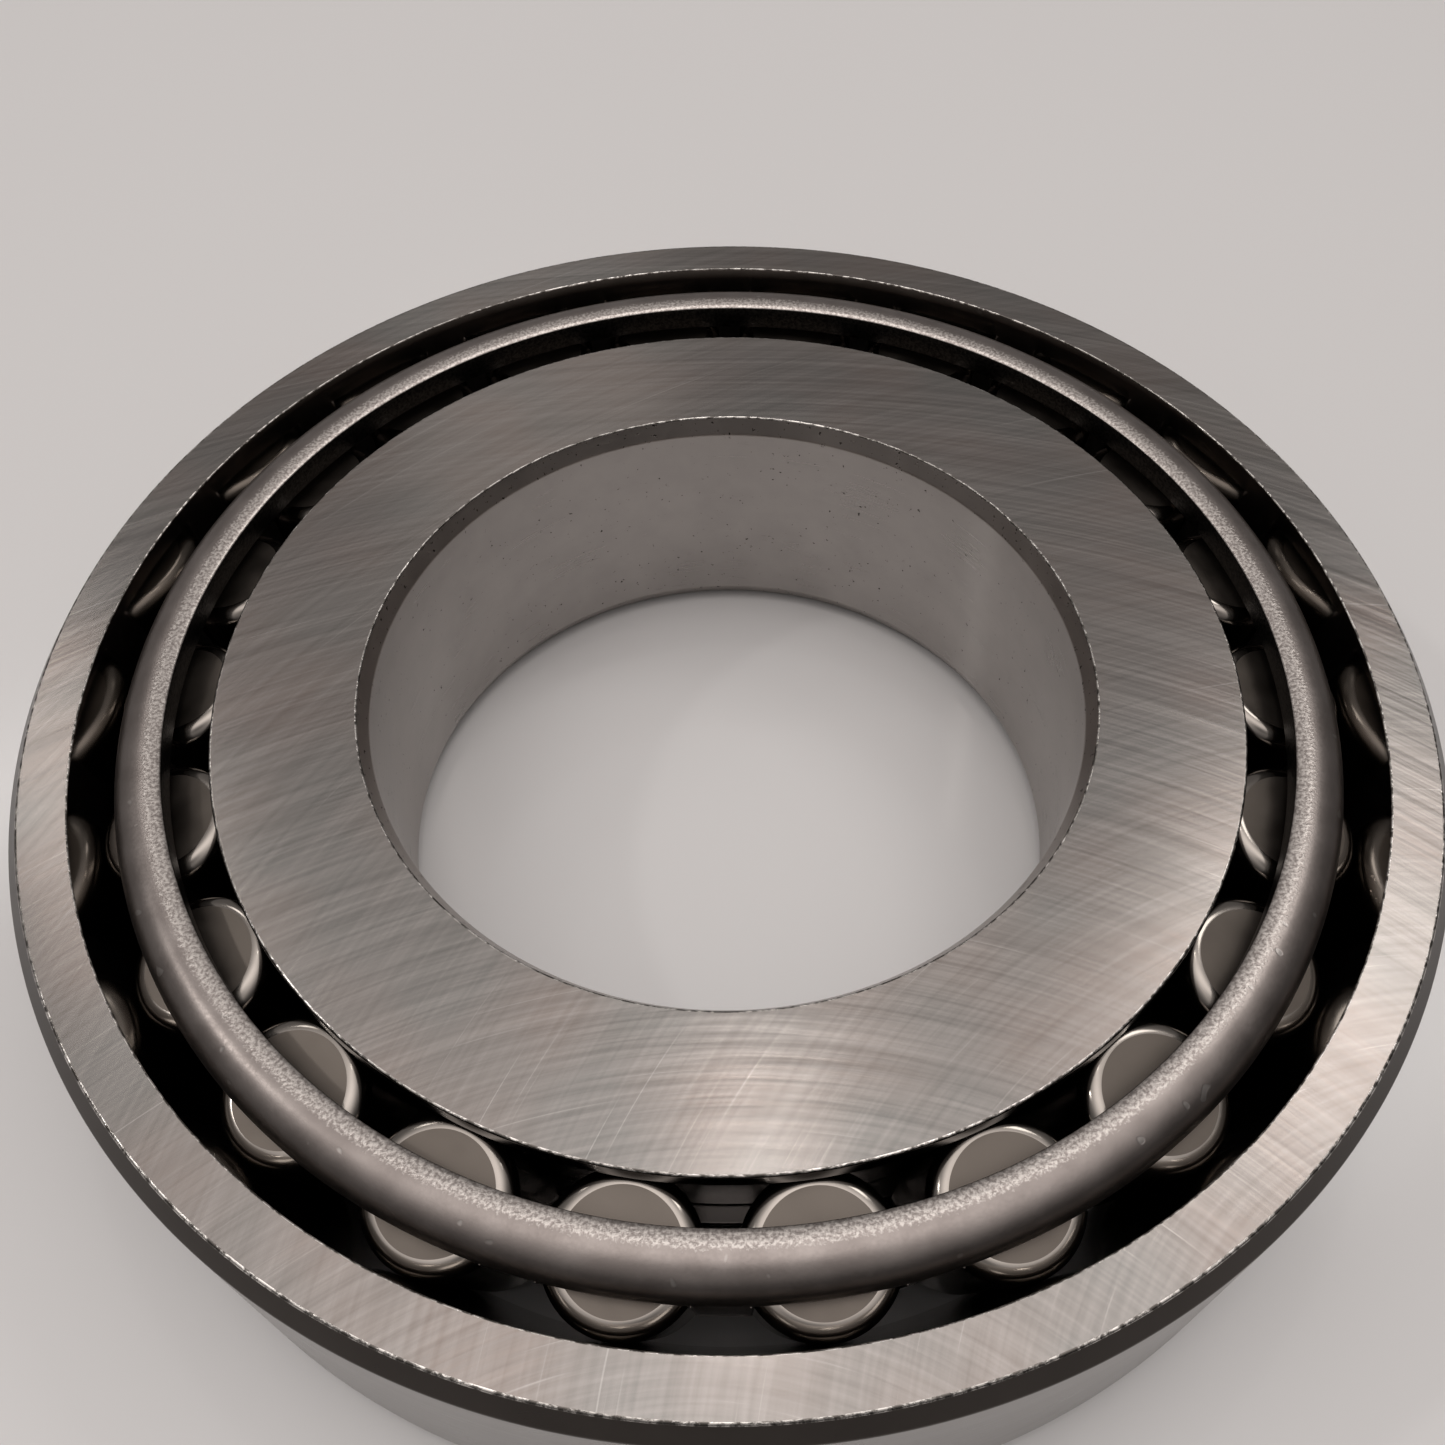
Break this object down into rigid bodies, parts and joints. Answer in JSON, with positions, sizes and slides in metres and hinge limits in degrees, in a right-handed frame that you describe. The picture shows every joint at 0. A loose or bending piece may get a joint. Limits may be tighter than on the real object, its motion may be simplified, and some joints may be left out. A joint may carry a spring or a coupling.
{
  "type": "tapered roller bearing",
  "caption": "Single-row tapered roller bearing: flanged inner ring, pressed-steel cage and tapered rollers running in a conical outer ring.",
  "frame": {"origin": "centre of the outer ring's back face, on the bearing's axis", "axes": "+Z along the bearing's axis, from the outer ring's back face towards the rollers' big ends; +X and +Y lie in the back face"},
  "size_m": [0.088, 0.088, 0.0202],
  "materials": {
    "ring_steel": "hardened bearing steel, ground faces with fine crossing grinding marks, honed raceways",
    "cage_steel": "pressed low-carbon steel sheet, tumbled matte grey, bright where the lip was sheared",
    "roller_steel": "hardened bearing steel, ground ends and polished rounded corners"
  },
  "bodies": {
    "outer_ring": {"outer_ring": "ring_steel"},
    "inner_ring": {"inner_ring": "ring_steel"},
    "cage": {"cage": "cage_steel"},
    "roller_01": {"roller_01": "roller_steel"},
    "roller_02": {"roller_02": "roller_steel"},
    "roller_03": {"roller_03": "roller_steel"},
    "roller_04": {"roller_04": "roller_steel"},
    "roller_05": {"roller_05": "roller_steel"},
    "roller_06": {"roller_06": "roller_steel"},
    "roller_07": {"roller_07": "roller_steel"},
    "roller_08": {"roller_08": "roller_steel"},
    "roller_09": {"roller_09": "roller_steel"},
    "roller_10": {"roller_10": "roller_steel"},
    "roller_11": {"roller_11": "roller_steel"},
    "roller_12": {"roller_12": "roller_steel"},
    "roller_13": {"roller_13": "roller_steel"},
    "roller_14": {"roller_14": "roller_steel"},
    "roller_15": {"roller_15": "roller_steel"},
    "roller_16": {"roller_16": "roller_steel"},
    "roller_17": {"roller_17": "roller_steel"},
    "roller_18": {"roller_18": "roller_steel"},
    "roller_19": {"roller_19": "roller_steel"},
    "roller_20": {"roller_20": "roller_steel"},
    "roller_21": {"roller_21": "roller_steel"},
    "roller_22": {"roller_22": "roller_steel"}
  },
  "joints": [
    {"name": "inner_ring_spin", "type": "hinge", "parent": "outer_ring", "child": "inner_ring", "pos_m": [0, 0, 0.01], "axis": [0, 0, 1], "continuous": true},
    {"name": "cage_spin", "type": "hinge", "parent": "outer_ring", "child": "cage", "pos_m": [0, 0, 0.01], "axis": [0, 0, 1], "continuous": true},
    {"name": "roller_01_spin", "type": "hinge", "parent": "cage", "child": "roller_01", "pos_m": [0.00419, -0.03361, 0.01012], "axis": [0.0248, -0.1989, 0.9797], "continuous": true},
    {"name": "roller_02_spin", "type": "hinge", "parent": "cage", "child": "roller_02", "pos_m": [0.01349, -0.03107, 0.01012], "axis": [0.0798, -0.1839, 0.9797], "continuous": true},
    {"name": "roller_03_spin", "type": "hinge", "parent": "cage", "child": "roller_03", "pos_m": [0.02169, -0.02601, 0.01012], "axis": [0.1284, -0.154, 0.9797], "continuous": true},
    {"name": "roller_04_spin", "type": "hinge", "parent": "cage", "child": "roller_04", "pos_m": [0.02814, -0.01885, 0.01012], "axis": [0.1666, -0.1116, 0.9797], "continuous": true},
    {"name": "roller_05_spin", "type": "hinge", "parent": "cage", "child": "roller_05", "pos_m": [0.03231, -0.01015, 0.01012], "axis": [0.1913, -0.0601, 0.9797], "continuous": true},
    {"name": "roller_06_spin", "type": "hinge", "parent": "cage", "child": "roller_06", "pos_m": [0.03387, -0.00064, 0.01012], "axis": [0.2004, -0.0038, 0.9797], "continuous": true},
    {"name": "roller_07_spin", "type": "hinge", "parent": "cage", "child": "roller_07", "pos_m": [0.03267, 0.00893, 0.01012], "axis": [0.1934, 0.0528, 0.9797], "continuous": true},
    {"name": "roller_08_spin", "type": "hinge", "parent": "cage", "child": "roller_08", "pos_m": [0.02883, 0.01777, 0.01012], "axis": [0.1707, 0.1052, 0.9797], "continuous": true},
    {"name": "roller_09_spin", "type": "hinge", "parent": "cage", "child": "roller_09", "pos_m": [0.02266, 0.02517, 0.01012], "axis": [0.1341, 0.149, 0.9797], "continuous": true},
    {"name": "roller_10_spin", "type": "hinge", "parent": "cage", "child": "roller_10", "pos_m": [0.01465, 0.03054, 0.01012], "axis": [0.0867, 0.1808, 0.9797], "continuous": true},
    {"name": "roller_11_spin", "type": "hinge", "parent": "cage", "child": "roller_11", "pos_m": [0.00545, 0.03343, 0.01012], "axis": [0.0323, 0.1979, 0.9797], "continuous": true},
    {"name": "roller_12_spin", "type": "hinge", "parent": "cage", "child": "roller_12", "pos_m": [-0.00419, 0.03361, 0.01012], "axis": [-0.0248, 0.1989, 0.9797], "continuous": true},
    {"name": "roller_13_spin", "type": "hinge", "parent": "cage", "child": "roller_13", "pos_m": [-0.01349, 0.03107, 0.01012], "axis": [-0.0798, 0.1839, 0.9797], "continuous": true},
    {"name": "roller_14_spin", "type": "hinge", "parent": "cage", "child": "roller_14", "pos_m": [-0.02169, 0.02601, 0.01012], "axis": [-0.1284, 0.154, 0.9797], "continuous": true},
    {"name": "roller_15_spin", "type": "hinge", "parent": "cage", "child": "roller_15", "pos_m": [-0.02814, 0.01885, 0.01012], "axis": [-0.1666, 0.1116, 0.9797], "continuous": true},
    {"name": "roller_16_spin", "type": "hinge", "parent": "cage", "child": "roller_16", "pos_m": [-0.03231, 0.01015, 0.01012], "axis": [-0.1913, 0.0601, 0.9797], "continuous": true},
    {"name": "roller_17_spin", "type": "hinge", "parent": "cage", "child": "roller_17", "pos_m": [-0.03387, 0.00064, 0.01012], "axis": [-0.2004, 0.0038, 0.9797], "continuous": true},
    {"name": "roller_18_spin", "type": "hinge", "parent": "cage", "child": "roller_18", "pos_m": [-0.03267, -0.00893, 0.01012], "axis": [-0.1934, -0.0528, 0.9797], "continuous": true},
    {"name": "roller_19_spin", "type": "hinge", "parent": "cage", "child": "roller_19", "pos_m": [-0.02883, -0.01777, 0.01012], "axis": [-0.1707, -0.1052, 0.9797], "continuous": true},
    {"name": "roller_20_spin", "type": "hinge", "parent": "cage", "child": "roller_20", "pos_m": [-0.02266, -0.02517, 0.01012], "axis": [-0.1341, -0.149, 0.9797], "continuous": true},
    {"name": "roller_21_spin", "type": "hinge", "parent": "cage", "child": "roller_21", "pos_m": [-0.01465, -0.03054, 0.01012], "axis": [-0.0867, -0.1808, 0.9797], "continuous": true},
    {"name": "roller_22_spin", "type": "hinge", "parent": "cage", "child": "roller_22", "pos_m": [-0.00545, -0.03343, 0.01012], "axis": [-0.0323, -0.1979, 0.9797], "continuous": true}
  ],
  "couplings": [
    {"joint": "cage_spin", "follows": "inner_ring_spin", "ratio": 0.44093},
    {"joint": "roller_01_spin", "follows": "inner_ring_spin", "ratio": -4.0881},
    {"joint": "roller_02_spin", "follows": "inner_ring_spin", "ratio": -4.0881},
    {"joint": "roller_03_spin", "follows": "inner_ring_spin", "ratio": -4.0881},
    {"joint": "roller_04_spin", "follows": "inner_ring_spin", "ratio": -4.0881},
    {"joint": "roller_05_spin", "follows": "inner_ring_spin", "ratio": -4.0881},
    {"joint": "roller_06_spin", "follows": "inner_ring_spin", "ratio": -4.0881},
    {"joint": "roller_07_spin", "follows": "inner_ring_spin", "ratio": -4.0881},
    {"joint": "roller_08_spin", "follows": "inner_ring_spin", "ratio": -4.0881},
    {"joint": "roller_09_spin", "follows": "inner_ring_spin", "ratio": -4.0881},
    {"joint": "roller_10_spin", "follows": "inner_ring_spin", "ratio": -4.0881},
    {"joint": "roller_11_spin", "follows": "inner_ring_spin", "ratio": -4.0881},
    {"joint": "roller_12_spin", "follows": "inner_ring_spin", "ratio": -4.0881},
    {"joint": "roller_13_spin", "follows": "inner_ring_spin", "ratio": -4.0881},
    {"joint": "roller_14_spin", "follows": "inner_ring_spin", "ratio": -4.0881},
    {"joint": "roller_15_spin", "follows": "inner_ring_spin", "ratio": -4.0881},
    {"joint": "roller_16_spin", "follows": "inner_ring_spin", "ratio": -4.0881},
    {"joint": "roller_17_spin", "follows": "inner_ring_spin", "ratio": -4.0881},
    {"joint": "roller_18_spin", "follows": "inner_ring_spin", "ratio": -4.0881},
    {"joint": "roller_19_spin", "follows": "inner_ring_spin", "ratio": -4.0881},
    {"joint": "roller_20_spin", "follows": "inner_ring_spin", "ratio": -4.0881},
    {"joint": "roller_21_spin", "follows": "inner_ring_spin", "ratio": -4.0881},
    {"joint": "roller_22_spin", "follows": "inner_ring_spin", "ratio": -4.0881}
  ]
}
